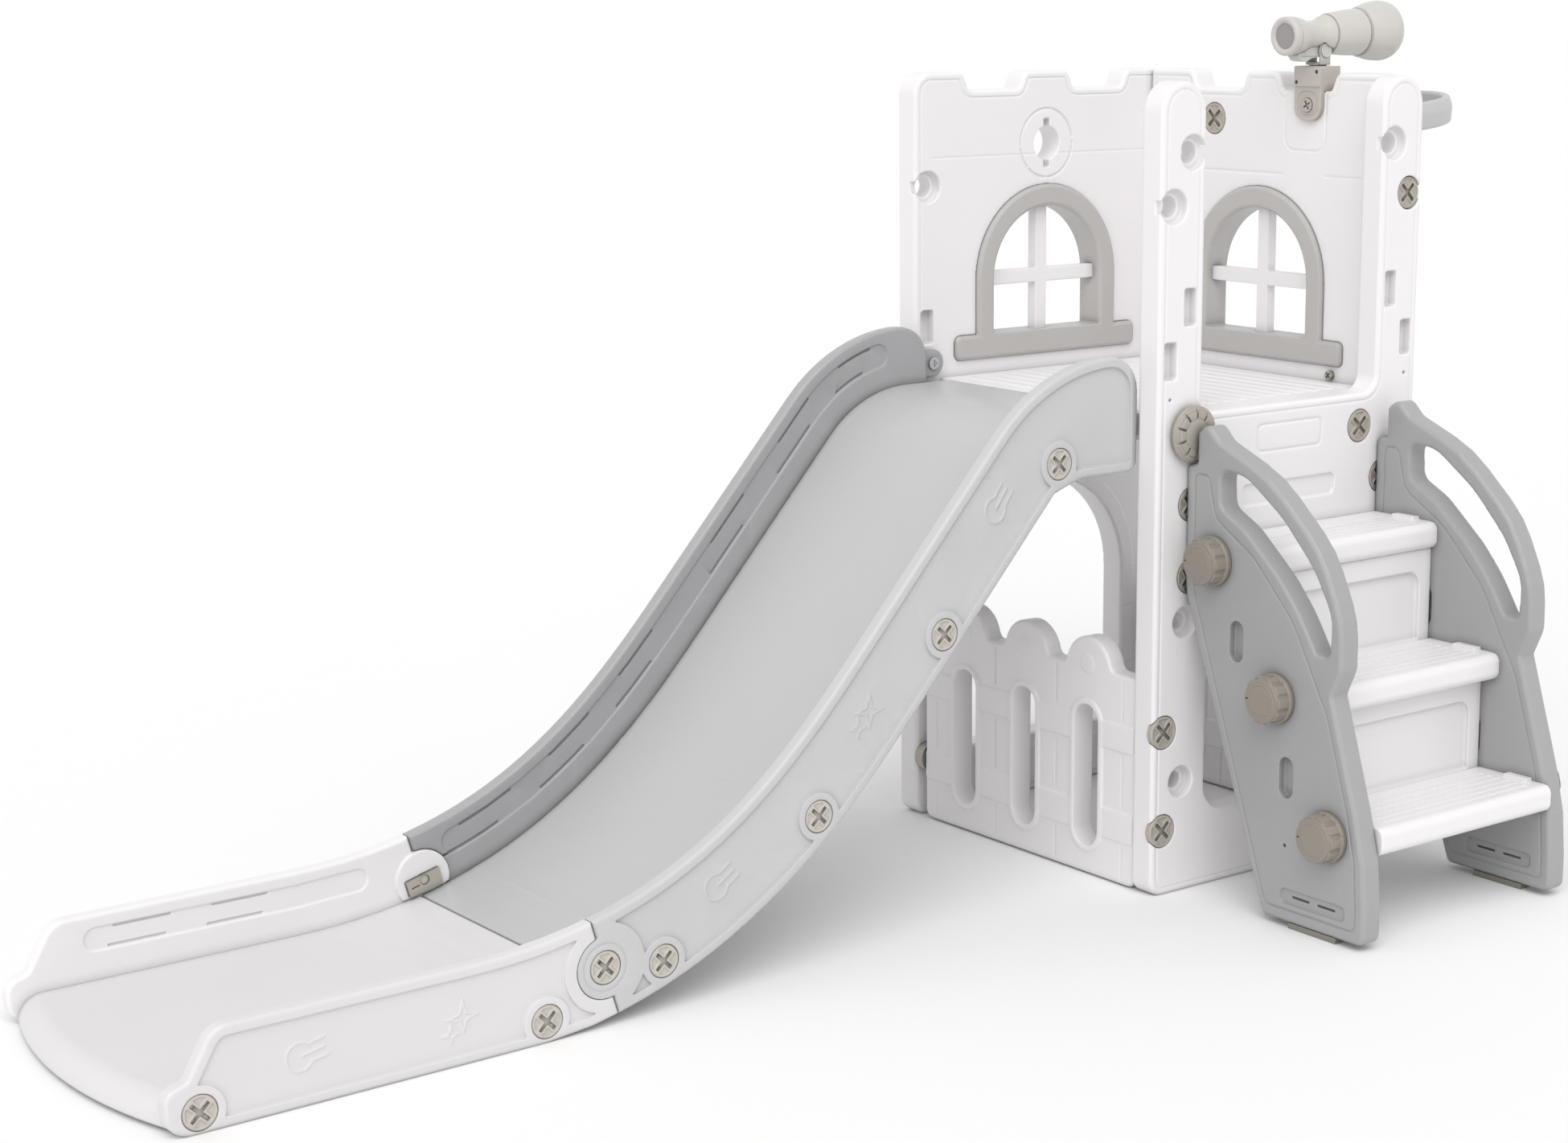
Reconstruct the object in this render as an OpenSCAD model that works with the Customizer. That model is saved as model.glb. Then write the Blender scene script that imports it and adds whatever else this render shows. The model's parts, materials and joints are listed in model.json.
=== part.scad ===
// Toddler slide with a castle play tower, stairs, telescope and hoop.
// Units are millimetres, +Z is up. Inside the modules x = 0 is the slide side of the tower,
// y = 0 the stair side and z = 0 the floor; place() then centres the whole on its footprint.

/* [Tower] */
// Width of the tower along the slide's run
tower_w = 500; // [480:5:560]
// Depth of the tower from stair wall to window wall
tower_d = 556; // [546:2:576]
// Height of the corner posts
tower_h = 1100; // [1080:5:1140]
// Thickness of the moulded walls
wall_t = 40; // [38:1:42]
// Width of a corner post
post_w = 80; // [76:1:84]
// Height of the platform's top
deck_z = 663; // [660:1:668]
// Roundness of the moulded edges
edge_r = 7; // [5:1:8]

/* [Slide] */
// Height of the rails above the bed
rail_up = 83; // [76:1:90]
// Depth of the rails below the bed's top
rail_down = 44; // [40:1:46]
// Thickness of a slide rail
rail_t = 21; // [19:1:23]
// Thickness of the slide beds
bed_t = 30; // [26:1:34]
// Steepness of the straight run in degrees
slope_deg = 47.8; // [46:0.2:49]
// Length of the straight run
straight_len = 282; // [260:2:300]
// Height of the run-out's top
runout_z = 36; // [34:1:38]
// How far the slide's tip stands out from the tower
slide_reach = 1428; // [1400:4:1460]

/* [Stairs] */
// Thickness of a stair side plate
plate_t = 34; // [30:1:36]
// Height of the lowest tread
step_rise = 166; // [162:1:168]
// Thickness of a tread's front edge
tread_t = 37; // [32:1:40]

/* [Telescope and hoop] */
// Place of the telescope along the rear wall
scope_y = 179; // [176:1:184]
// Length of the telescope
scope_len = 212; // [204:2:224]
// Upward lean of the telescope at rest in degrees
scope_lean = 2; // [0:0.1:3]
// Outer radius of the hoop
hoop_r = 104; // [98:1:110]
// Height of the hoop's band
hoop_h = 40; // [32:1:44]
// Upward lean of the hoop in degrees
hoop_tilt = 6.3; // [4:0.1:8]

/* [Hidden] */
$fn = 48;

white = [0.94, 0.93, 0.935];
pale_grey = [0.80, 0.80, 0.81];
mid_grey = [0.69, 0.69, 0.71];
frame_grey = [0.73, 0.73, 0.72];
taupe = [0.66, 0.64, 0.61];
steel = [0.75, 0.76, 0.78];
dark = [0.2, 0.2, 0.21];

running_fit = 0.05;     // radial clearance of a part that turns
body_gap = 0.3;         // clearance between bodies that pass each other
screw_r = 23;           // head of a tower screw
slide_screw_r = 21;     // head of a slide screw
bore_r = 14.5;          // through hole in a post
groove_w = 3;           // width of a moulded line
groove_d = 1.6;         // depth of a moulded line
past = 1;               // how far a cutter runs past a face

wall_in_x = tower_w - wall_t;
wall_in_y = tower_d - wall_t;
wall_top = tower_h + 1;
crenel_drop = 26;
window_c = tower_w / 2;
side_c = (wall_t + wall_in_y) / 2;     // middle of the rear wall
near_y = wall_t + 3;                   // outer face of the near slide rail
far_y = wall_in_y - 2;                 // outer face of the far slide rail
bed_y0 = near_y + rail_t;
bed_y1 = far_y - rail_t;
stair_reach = 343;                     // how far the stairs stand out
hoop_x = tower_w + 7 + hoop_r;
x_min = -slide_reach;
x_max = hoop_x + hoop_r * cos(hoop_tilt) - 0.1 * hoop_h * sin(hoop_tilt);
center_x = (x_min + x_max) / 2;
center_y = (tower_d - stair_reach) / 2;

module place() translate([-center_x, -center_y, 0]) children();

// ---- outlines -------------------------------------------------------------------------------

function unit(v) = v / norm(v);
function turn(v) = [-v[1], v[0]];
function area2(p) = [for (i = [0 : len(p) - 1]) cross(p[i], p[(i + 1) % len(p)])] * [for (q = p) 1];

// Rounds each corner [x, y, r] of an outline by its own radius r; r = 0 keeps the point.
function rounded(c) = [
    for (i = [0 : len(c) - 1])
        let (
            n = len(c),
            p = [c[i][0], c[i][1]],
            a = unit([c[(i + n - 1) % n][0], c[(i + n - 1) % n][1]] - p),
            b = unit([c[(i + 1) % n][0], c[(i + 1) % n][1]] - p),
            r = c[i][2],
            half = acos(max(-1, min(1, a * b))) / 2,
            sweep = 180 - 2 * half,
            steps = r == 0 ? 0 : max(2, ceil(sweep / 13)),
            center = r == 0 ? p : p + unit(a + b) * (r / sin(half)),
            side = cross(a, b) < 0 ? 1 : -1,
            start = r == 0 ? p : p + a * (r / tan(half)) - center
        )
        each r == 0
            ? [p]
            : [for (k = [0 : steps])
                let (t = side * sweep * k / steps)
                center + [start[0] * cos(t) - start[1] * sin(t), start[0] * sin(t) + start[1] * cos(t)]]
];

// Moves every side of a closed outline inwards by d.
function inset(p, d) =
    let (n = len(p), s = area2(p) > 0 ? 1 : -1)
    [for (i = [0 : n - 1])
        let (
            u = unit(p[i] - p[(i + n - 1) % n]),
            v = unit(p[(i + 1) % n] - p[i]),
            nu = s * turn(u),
            nv = s * turn(v)
        )
        p[i] + d * (nu + nv) / (1 + nu * nv)];

// Draws a list of corners [x, y, r] inwards by d, and its radii with it.
function drawn_in(c, d) =
    let (
        n = len(c),
        p = [for (q = c) [q[0], q[1]]],
        s = area2(p) > 0 ? 1 : -1,
        m = inset(p, d)
    )
    [for (i = [0 : n - 1])
        let (outer = s * cross(p[i] - p[(i + n - 1) % n], p[(i + 1) % n] - p[i]) > 0)
        [m[i][0], m[i][1], outer ? max(c[i][2] - d, 1) : c[i][2] + d]];

function arc(cx, cy, r, a0, a1, steps) =
    [for (k = [0 : steps]) let (t = a0 + (a1 - a0) * k / steps) [cx + r * cos(t), cy + r * sin(t)]];

module stadium(x, y, half_w, half_h) {
    translate([x - half_w, y - half_h + half_w]) square([2 * half_w, 2 * (half_h - half_w)]);
    translate([x, y - half_h + half_w]) circle(half_w);
    translate([x, y + half_h - half_w]) circle(half_w);
}

module soft_square(x0, y0, x1, y1, r) polygon(rounded([[x0, y0, r], [x1, y0, r], [x1, y1, r], [x0, y1, r]]));

// A plane drawing (x, z) made solid along +Y from y0, and one (y, z) made solid along +X from x0.
module along_y(y0, t) translate([0, y0 + t, 0]) rotate([90, 0, 0]) linear_extrude(t) children();
module along_x(x0, t) translate([x0, 0, 0]) rotate([90, 0, 90]) linear_extrude(t) children();

// A flat moulding with rounded edges: thin layers of the outline, the outer ones drawn in.
module soft_plate(p, t, r) {
    skin = r * 0.18;
    shoulder = r * 0.5;
    linear_extrude(t) polygon(inset(p, r * 0.55));
    translate([0, 0, skin]) linear_extrude(t - 2 * skin) polygon(inset(p, r * 0.22));
    translate([0, 0, shoulder]) linear_extrude(t - 2 * shoulder) polygon(p);
}

// The same line for an outline given by its corners.
module corner_ring(c, d, w = groove_w) difference() {
    polygon(rounded(drawn_in(c, d)));
    polygon(rounded(drawn_in(c, d + w)));
}

module plate_y(p, y0, t, r = edge_r) translate([0, y0 + t, 0]) rotate([90, 0, 0]) soft_plate(p, t, r);
module plate_x(p, x0, t, r = edge_r) translate([x0, 0, 0]) rotate([90, 0, 90]) soft_plate(p, t, r);

// A moulded line that follows an outline at distance d from its edge.
module line_ring(p, d, w = groove_w) difference() {
    polygon(inset(p, d));
    polygon(inset(p, d + w));
}

// ---- fasteners ------------------------------------------------------------------------------

// Plastic screw along +Z: head top at z = 0, with a cross slot.
module cross_screw(head_r, head_h, shank_r, shank_len) {
    slot_w = head_r * 0.24;
    difference() {
        union() {
            translate([0, 0, -head_h]) cylinder(r = head_r - 1.2, h = head_h);
            translate([0, 0, -head_h]) cylinder(r = head_r, h = head_h - 1.2);
            translate([0, 0, -head_h - shank_len]) cylinder(r = shank_r, h = shank_len);
        }
        difference() {
            translate([0, 0, -1.6]) cylinder(r = head_r * 0.84, h = 3);
            for (a = [45, 135])
                rotate([0, 0, a]) translate([-head_r, -slot_w, -3]) cube([2 * head_r, 2 * slot_w, 5]);
        }
        for (a = [45, 135])
            rotate([0, 0, a]) translate([-head_r * 0.7, -slot_w / 2, -4.5]) cube([head_r * 1.4, slot_w, 6]);
    }
}

module face_y(x, y, z) translate([x, y, z]) rotate([90, 0, 0]) children();    // faces -Y
module back_y(x, y, z) translate([x, y, z]) rotate([-90, 0, 0]) children();   // faces +Y
module face_x(x, y, z) translate([x, y, z]) rotate([0, -90, 0]) children();   // faces -X
module back_x(x, y, z) translate([x, y, z]) rotate([0, 90, 0]) children();    // faces +X

head_h = 9;
shank_r = 11;
shank_len = 42;

// ---- stair wall -----------------------------------------------------------------------------

sill_z = 105;                 // top of the low sill
hatch_top = 468;              // top of the opening behind the stairs
slot_low_z = deck_z + 73;
slot_high_z = deck_z + 143;
hole_high = [57, tower_h - 92];
hole_low = [24, tower_h - 161.5];
fence_screw_z = [92, 231];
stair_screw_z = [442, 541];
stair_screw_x = 64;
panel_screw = [111, deck_z - 46];
empty_holes = [[56, 380], [53, 157]];

post_bend = tower_h - post_w;   // below this height a post is straight

function post_pair_outline() = concat(
    [for (q = rounded([[0, post_bend, 0], [0, 0, 22], [tower_w, 0, 22], [tower_w, post_bend, 0]]))
        if (q[1] < post_bend) q],
    arc(tower_w - post_w / 2, tower_h - post_w / 2, post_w / 2, 0, 180, 18),
    [for (q = rounded([
        [tower_w - post_w, post_bend, 0], [tower_w - post_w, deck_z, 24], [post_w, deck_z, 24], [post_w, post_bend, 0]
    ])) if (q[1] < post_bend) q],
    arc(post_w / 2, tower_h - post_w / 2, post_w / 2, 0, 180, 18)
);

// Counterbored hole in a post's outer face with a channel to the near edge.
module post_hole(x, z, edge_x, deep = 12) {
    face_y(x, -past, z) translate([0, 0, -wall_t - 2 * past]) cylinder(r = bore_r, h = wall_t + 3 * past);
    face_y(x, 0, z) translate([0, 0, -deep]) cylinder(r = screw_r + 0.5, h = deep + past);
    translate([min(x, edge_x), -past, z - 8.5]) cube([abs(edge_x - x), deep + past, 17]);
}

module stair_wall() color(white) {
    outline = post_pair_outline();
    difference() {
        plate_y(outline, 0, wall_t);
        along_y(-past, wall_t + 2 * past) soft_square(97, sill_z, tower_w - 97, hatch_top, 40);
        along_y(-past, groove_d + past) line_ring(outline, 9);
        for (x = [-past, tower_w - groove_d])
            translate([x, wall_t / 2 - 1, 24]) cube([groove_d + past, 2, tower_h - 76]);
        for (s = [0, 1]) mirror_x(s) {
            post_hole(hole_high[0], hole_high[1], post_w + past);
            post_hole(hole_low[0], hole_low[1], -past);
            along_y(-past, 16 + past) soft_square(45, slot_high_z - 25, 67, slot_high_z + 25, 4);
            along_y(-past, 16 + past) soft_square(11, slot_low_z - 25, 33, slot_low_z + 25, 4);
            face_y(22, -past, deck_z + 22) translate([0, 0, -10]) cylinder(r = 2.5, h = 10 + past);
            for (h = empty_holes) {
                face_y(h[0], 0, h[1]) translate([0, 0, -14]) cylinder(r = 22, h = 14 + past);
                face_y(h[0], -past, h[1]) translate([0, 0, -wall_t - past]) cylinder(r = 12, h = wall_t + 2 * past);
            }
            for (z = fence_screw_z) {
                screw_seat(20, z);
                translate([-past, -past, z - 9]) cube([21, 7 + past, 18]);
            }
            for (z = stair_screw_z) screw_seat(stair_screw_x, z);
            screw_seat(panel_screw[0], panel_screw[1]);
        }
        along_y(-past, 4 + past) soft_square(window_c - 90, deck_z - 137, window_c + 90, deck_z - 107, 9);
        along_y(-past, 2 + past) difference() {
            soft_square(window_c - 64, deck_z - 66, window_c + 64, deck_z - 25, 10);
            soft_square(window_c - 60, deck_z - 62, window_c + 60, deck_z - 29, 7);
        }
        face_y(dial_x, -past, dial_z) translate([0, 0, -wall_t]) cylinder(r = spindle_r, h = wall_t);
    }
}

module mirror_x(s) {
    if (s == 1) translate([tower_w, 0, 0]) mirror([1, 0, 0]) children();
    else children();
}

module screw_seat(x, z) {
    face_y(x, 0, z) translate([0, 0, -head_h]) cylinder(r = screw_r + 0.5, h = head_h + past);
    face_y(x, -past, z) translate([0, 0, -wall_t - past]) cylinder(r = shank_r, h = wall_t + 2 * past);
}

// ---- castle walls ---------------------------------------------------------------------------

sill_low = deck_z + 20;
sill_high = deck_z + 56;
arch_spring = deck_z + 136;
pane_half = 104;
frame_half = 136;
sill_half = 177;
bar_w = 21;
bar_z = arch_spring;
bar_in = 11;                  // the bars lie this deep inside the wall

// Battlement edge from left to right: merlons at wall_top, crenels between the given edges.
function battlement(edges, top) = [
    for (e = edges) each [
        [e[0] - 5, top, 13], [e[0] + 6, top - crenel_drop, 9],
        [e[1] - 6, top - crenel_drop, 9], [e[1] + 5, top, 13]
    ]
];

function arch_points(c, half, z0, spring) =
    concat([[c - half, z0], [c + half, z0]], arc(c, spring, half, 0, 180, 30));

sleeve_t = 3;                 // lining of a window opening, moulded on its frame

module window_hole(c) polygon(arch_points(c, pane_half + sleeve_t, sill_high - sleeve_t, arch_spring));

// Cross of bars, wider by grow on each side; it runs 6 mm into the wall around the window.
module window_bars(c, grow = 0) {
    w = bar_w + 2 * grow;
    translate([c - w / 2, sill_high - 6]) square([w, pane_half + arch_spring - sill_high + 12]);
    translate([c - pane_half - 6, bar_z - w / 2]) square([2 * (pane_half + 6), w]);
}

// Outer edge of a window frame drawn in by d: an arch that stands on its sill.
module window_frame_outer(c, d = 0) {
    polygon(arch_points(c, frame_half - d, sill_high - 10, arch_spring));
    soft_square(c - sill_half + d, sill_low + d, c + sill_half - d, sill_high - d, 9 - d);
}

module window_frame(d) difference() {
    window_frame_outer(c = 0, d = d);
    polygon(arch_points(0, pane_half + d, sill_high, arch_spring));
}

// Frame in three layers, so that its front edge is rounded; drawn around x = 0.
module window_frame_layers() {
    difference() {
        translate([0, 0, frame_seat - wall_t]) linear_extrude(wall_t - frame_seat) difference() {
            window_hole(0);
            polygon(arch_points(0, pane_half, sill_high, arch_spring));
        }
        translate([0, 0, frame_seat - wall_t + bar_in - body_gap])
            linear_extrude(wall_t - 2 * bar_in + 2 * body_gap) window_bars(0, body_gap);
    }
    linear_extrude(frame_seat + frame_proud - 4) window_frame(0);
    linear_extrude(frame_seat + frame_proud - 1.4) window_frame(1.6);
    linear_extrude(frame_seat + frame_proud) window_frame(4);
}

frame_proud = 7;      // how far a window frame stands out of the wall
frame_seat = 4;       // how deep it is let into the wall

rear_window_c = side_c + 2;
emblem_z = wall_top - 106;     // round emblem above the window
door_half = 160;
door_spring = 330;
door_low = 93;

window_wall_corners = concat(
    [[tower_w, 0, 22], [0, 0, 22], [0, wall_top, 30]],
    battlement([[window_c - 155, window_c - 47], [window_c + 47, window_c + 155]], wall_top),
    [[tower_w, wall_top, 30]]
);

module door_shape(grow) polygon(concat(
    [for (q = rounded([
        [window_c - door_half - grow, 600, 0], [window_c - door_half - grow, door_low - grow, 30],
        [window_c + door_half + grow, door_low - grow, 30], [window_c + door_half + grow, 600, 0]
    ])) if (q[1] < 500) q],
    arc(window_c, door_spring, door_half + grow, 0, 180, 30)
));

module window_wall() color(white) {
    y0 = wall_in_y;
    difference() {
        union() {
            plate_y(rounded(window_wall_corners), y0, wall_t);
            along_y(y0 - 3, 4) difference() {
                door_shape(26);
                door_shape(2);
            }
        }
        along_y(y0 - past, wall_t + 2 * past) window_hole(window_c);
        along_y(y0 - past, frame_seat + past) window_frame_outer(window_c);
        along_y(y0 - 4, wall_t + 5) door_shape(0);
        for (a = [0 : 20 : 180])
            translate([window_c, y0 - 4, door_spring]) rotate([0, -a, 0])
                translate([door_half - 2, 0, -1]) cube([32, 2.4, 2]);
        for (z = [130 : 46 : 322], x = [window_c - door_half - 28, window_c + door_half - 2])
            translate([x, y0 - 4, z]) cube([30, 2.4, 2]);
        along_y(y0 - past, groove_d + past) corner_ring(window_wall_corners, 9);
        translate([30, y0 - past, emblem_z - 17]) cube([tower_w - 60, groove_d + past, groove_w]);
        face_y(window_c, y0 - past, emblem_z) translate([0, 0, -wall_t - past]) cylinder(r = 25, h = wall_t + 2 * past);
        translate([window_c - 6, y0 - past, emblem_z - 36]) cube([12, wall_t + 2 * past, 72]);
        along_y(y0 - past, 2.5 + past) difference() {
            translate([window_c, emblem_z]) circle(52);
            translate([window_c, emblem_z]) circle(49);
        }
        face_y(hole_low[0], y0, hole_low[1]) translate([0, 0, -12]) cylinder(r = screw_r + 0.5, h = 12 + past);
        face_y(hole_low[0], y0 - past, hole_low[1]) translate([0, 0, -wall_t - past]) cylinder(r = bore_r, h = wall_t + 2 * past);
        translate([-past, y0 - past, hole_low[1] - 8.5]) cube([hole_low[0] + past, 12 + past, 17]);
        along_y(y0 - past, 16 + past) soft_square(12, slot_low_z - 25, 34, slot_low_z + 25, 4);
        translate([-past, y0 + wall_t / 2 - 1, 24]) cube([groove_d + past, 2, tower_h - 50]);
        for (x = [20, tower_w - 20], z = fence_screw_z)
            face_y(x, y0 - past, z) translate([0, 0, -32]) cylinder(r = shank_r, h = 32);
        face_y(tab_x, y0 - past, tab_z) translate([0, 0, -26]) cylinder(r = 4, h = 26);
    }
    along_y(y0 + bar_in, wall_t - 2 * bar_in) window_bars(window_c);
}

telescope_wall_bottom = deck_z - 73;
wall_screw = [side_c + 99, wall_top - 71];
line_z = wall_top - 148;       // moulded line over the rear window
scope_gap = [scope_y - 43, scope_y + 63];   // gap of the battlements that the telescope stands in
panel_y = [scope_gap[0] + 12, scope_gap[1] - 11];
telescope_wall_corners = concat(
    [[wall_in_y, telescope_wall_bottom, 10], [wall_t, telescope_wall_bottom, 10], [wall_t, wall_top, 6]],
    battlement([scope_gap, [side_c + 36, side_c + 142]], wall_top),
    [[wall_in_y, wall_top, 6]]
);

module telescope_wall() color(white) {
    x0 = wall_in_x;
    difference() {
        plate_x(rounded(telescope_wall_corners), x0, wall_t);
        along_x(x0 - past, wall_t + 2 * past) window_hole(rear_window_c);
        along_x(x0 - past, frame_seat + past) window_frame_outer(rear_window_c);
        along_x(x0 - past, groove_d + past) difference() {
            corner_ring(telescope_wall_corners, 9);
            soft_square(panel_y[0], wall_top - 121, panel_y[1], wall_top + 20, 10);
        }
        along_x(x0 - past, groove_d + past) difference() {
            soft_square(panel_y[0], wall_top - 113, panel_y[1], wall_top + 99, 20);
            soft_square(panel_y[0] + 3, wall_top - 110, panel_y[1] - 3, wall_top + 99, 17);
        }
        translate([x0 - past, wall_t + 8, line_z]) cube([groove_d + past, panel_y[0] - wall_t - 8, groove_w]);
        translate([x0 - past, panel_y[1], line_z]) cube([groove_d + past, wall_in_y - 35 - panel_y[1], groove_w]);
        face_x(x0, wall_screw[0], wall_screw[1]) translate([0, 0, -head_h]) cylinder(r = screw_r + 0.5, h = head_h + past);
        face_x(x0 - past, wall_screw[0], wall_screw[1])
            translate([0, 0, -wall_t - past]) cylinder(r = shank_r, h = wall_t + 2 * past);
        face_x(x0 - past, scope_y, bracket_screw_z) translate([0, 0, -30]) cylinder(r = 6, h = 30);
        for (y = hoop_screw_y)
            back_x(tower_w + past, y, hoop_screw_z) translate([0, 0, -24]) cylinder(r = 5, h = 24);
    }
    along_x(x0 + bar_in, wall_t - 2 * bar_in) window_bars(rear_window_c);
}

module far_window_frame() color(frame_grey)
    translate([window_c, wall_in_y + frame_seat, 0]) rotate([90, 0, 0]) window_frame_layers();

module rear_window_frame() color(frame_grey)
    translate([wall_in_x + frame_seat, rear_window_c, 0]) rotate([90, 0, -90]) window_frame_layers();

// ---- picket fences --------------------------------------------------------------------------

fence_y1 = wall_in_y - 16;
picket_pitch = 133;
picket_y = [139, 139 + picket_pitch, 139 + 2 * picket_pitch];
joint_y = [67, 205, 338, 471];
fence_shoulder = 300;
dome_r = 47;
dome_z = 296;
fence_t = 36;
fence_rail_z = [[64, 106], [193, 230]];
plank_z = [[9, 58], [112, 187], [236, 294]];

fence_outline = concat(
    rounded([[wall_t, fence_shoulder, 6], [wall_t, 2, 14], [fence_y1, 2, 14], [fence_y1, fence_shoulder, 10]]),
    [for (k = [2 : -1 : 0]) each concat(
        [[picket_y[k] + dome_r + 9, fence_shoulder], [picket_y[k] + dome_r + 3, fence_shoulder + 2]],
        arc(picket_y[k], dome_z, dome_r, 14, 166, 14),
        [[picket_y[k] - dome_r - 3, fence_shoulder + 2], [picket_y[k] - dome_r - 9, fence_shoulder]]
    )]
);

// One fence panel, outer face towards -X.
module fence_panel(x0) {
    lip = 3;
    difference() {
        union() {
            plate_x(fence_outline, x0 + lip, fence_t - 2 * lip, 6);
            for (y = picket_y) along_x(x0, fence_t) stadium(y, 145, 33, 110);
            for (z = fence_rail_z)
                along_x(x0 + 1, fence_t - 2) soft_square(wall_t + 3, z[0], fence_y1 - 3, z[1], 4);
            for (y = picket_y) along_x(x0 + 1.6, 4) translate([y, 305]) circle(13);
        }
        for (y = picket_y) along_x(x0 - past, fence_t + 2 * past) stadium(y, 145, 25, 102);
        for (y = joint_y, x = [x0 - past, x0 + fence_t - lip - 2], z = plank_z)
            translate([x, y - 1.5, z[0]]) cube([lip + 2 + past, 3, z[1] - z[0]]);
        for (z = fence_screw_z)
            face_y(x0 + 18, wall_t - past, z) translate([0, 0, -30 - past]) cylinder(r = shank_r, h = 30 + past);
    }
}

module front_fence() color(white) fence_panel(2);
module rear_fence() color(white) fence_panel(tower_w - 2 - fence_t);

module fence_collars() color(taupe)
    for (x = [20, tower_w - 20], z = fence_screw_z)
        face_y(x, fence_y1, z) {
            translate([0, 0, -(wall_in_y - fence_y1)]) cylinder(r = 22, h = wall_in_y - fence_y1);
            translate([0, 0, -(wall_in_y - fence_y1) - 30]) cylinder(r = shank_r, h = 30);
        }

// ---- platform -------------------------------------------------------------------------------

deck_x0 = 46;
deck_t = 46;
slats = 13;
slat_w = 16;
slat_pitch = (wall_in_x - deck_x0 - 52 - slat_w) / (slats - 1);

module platform_deck() color(white) difference() {
    union() {
        plate_z(deck_x0, wall_t, wall_in_x, wall_in_y, deck_z - deck_t, deck_t - 2);
        for (k = [0 : slats - 1])
            translate([deck_x0 + 26 + k * slat_pitch, wall_t + 26, deck_z - 4]) cube([slat_w, wall_in_y - wall_t - 52, 4]);
    }
    for (x = [deck_x0 + 14, wall_in_x - 17])
        translate([x, wall_t + 12, deck_z - 3.5]) cube([groove_w, wall_in_y - wall_t - 24, 3]);
}

module plate_z(x0, y0, x1, y1, z0, t) {
    outline = rounded([[x0, y0, 4], [x1, y0, 4], [x1, y1, 4], [x0, y1, 4]]);
    translate([0, 0, z0]) soft_plate(outline, t, 5);
}

module deck_bolts() color(taupe) {
    for (y = [124, 430]) face_x(wall_in_x - 3, y, deck_z + 7.3) cross_bolt();
}

module cross_bolt() {
    difference() {
        cylinder(r = 7, h = 4);
        for (a = [45, 135]) rotate([0, 0, a]) translate([-5, -1.2, 1.5]) cube([10, 2.4, 4]);
    }
    translate([0, 0, -3]) cylinder(r = 6.5, h = 3);
}

// ---- slide ----------------------------------------------------------------------------------

bed_head_x = 45;              // head of the bed, under the deck's edge
crest_x = -37.7;
crest_r = 183;
valley_in = 208;              // reach of the valley's upper and lower handles
valley_out = 357;
valley_end_x = -1026;
flat_len = slide_reach + valley_end_x - 22;
bed_z = deck_z - 2.5;
crest_end = [crest_x - crest_r * sin(slope_deg), bed_z - crest_r * (1 - cos(slope_deg))];
run_dir = [-cos(slope_deg), -sin(slope_deg)];
run_end = crest_end + straight_len * run_dir;
run_handle = run_end + valley_in * run_dir;
flat_end = [valley_end_x, runout_z];
flat_handle = flat_end + [valley_out, 0];

function curve_at(t) = pow(1 - t, 3) * run_end + 3 * pow(1 - t, 2) * t * run_handle
    + 3 * (1 - t) * t * t * flat_handle + t * t * t * flat_end;
function curve_dir(t) = unit((1 - t) * (1 - t) * (run_handle - run_end)
    + 2 * (1 - t) * t * (flat_handle - run_handle) + t * t * (flat_end - flat_handle));

// Point of the bed's line and its direction: u 0-1 flat head, 1-2 crest, 2-3 run, 3-4 valley, 4-5 run-out.
function bed_point(u) =
    u < 1 ? [bed_head_x + u * (crest_x - bed_head_x), bed_z]
    : u < 2 ? [crest_x - crest_r * sin((u - 1) * slope_deg), bed_z - crest_r * (1 - cos((u - 1) * slope_deg))]
    : u < 3 ? crest_end + (u - 2) * straight_len * run_dir
    : u < 4 ? curve_at(u - 3)
    : flat_end + [-(u - 4) * flat_len, 0];
function bed_dir(u) =
    u < 1 ? [-1, 0]
    : u < 2 ? [-cos((u - 1) * slope_deg), -sin((u - 1) * slope_deg)]
    : u < 3 ? run_dir
    : u < 4 ? curve_dir(u - 3)
    : [-1, 0];
function beside(u, h) = bed_point(u) - h * turn(bed_dir(u));

crest_steps = [for (k = [0 : 12]) 1 + k / 12];
valley_steps = [for (k = [0 : 26]) 3 + k / 26];
bed_steps = concat(crest_steps, valley_steps);

pivot = [-847, 76];
knuckle_r = 39;
seam_top = [-868, 150];
seam_low = [-822, -10];
function past_seam(p) = cross(seam_low - seam_top, p - seam_top) < 0;   // true on the run-out side
seam_w = 0.7;
function well_past_seam(p) = past_seam(p + [3, 0]);

rail_top_line = [for (u = bed_steps) beside(u, rail_up)];
rail_low_line = [for (u = bed_steps) beside(u, -rail_down)];
// Point where a line of points crosses the seam.
function seam_hit(line) = [for (k = [1 : len(line) - 1])
    let (a = line[k - 1], b = line[k], d = seam_low - seam_top)
    if (past_seam(a) != past_seam(b)) a + (b - a) * cross(d, seam_top - a) / cross(d, b - a)][0];
top_hit = seam_hit(rail_top_line);
low_hit = seam_hit(rail_low_line);

upper_rail_outline = rounded(concat(
    [for (p = rail_top_line) if (!past_seam(p) && p[0] < -48) [p[0], p[1], 0]],
    [[top_hit[0], top_hit[1], 0], [low_hit[0], low_hit[1], 0]],
    [for (k = [len(rail_low_line) - 1 : -1 : 0]) let (p = rail_low_line[k])
        if (!past_seam(p) && p[0] < -138) [p[0], p[1], 0]],
    [[-96, 587, 40], [4, 587, 16], [4, bed_z + rail_up, 48]]
));

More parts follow.
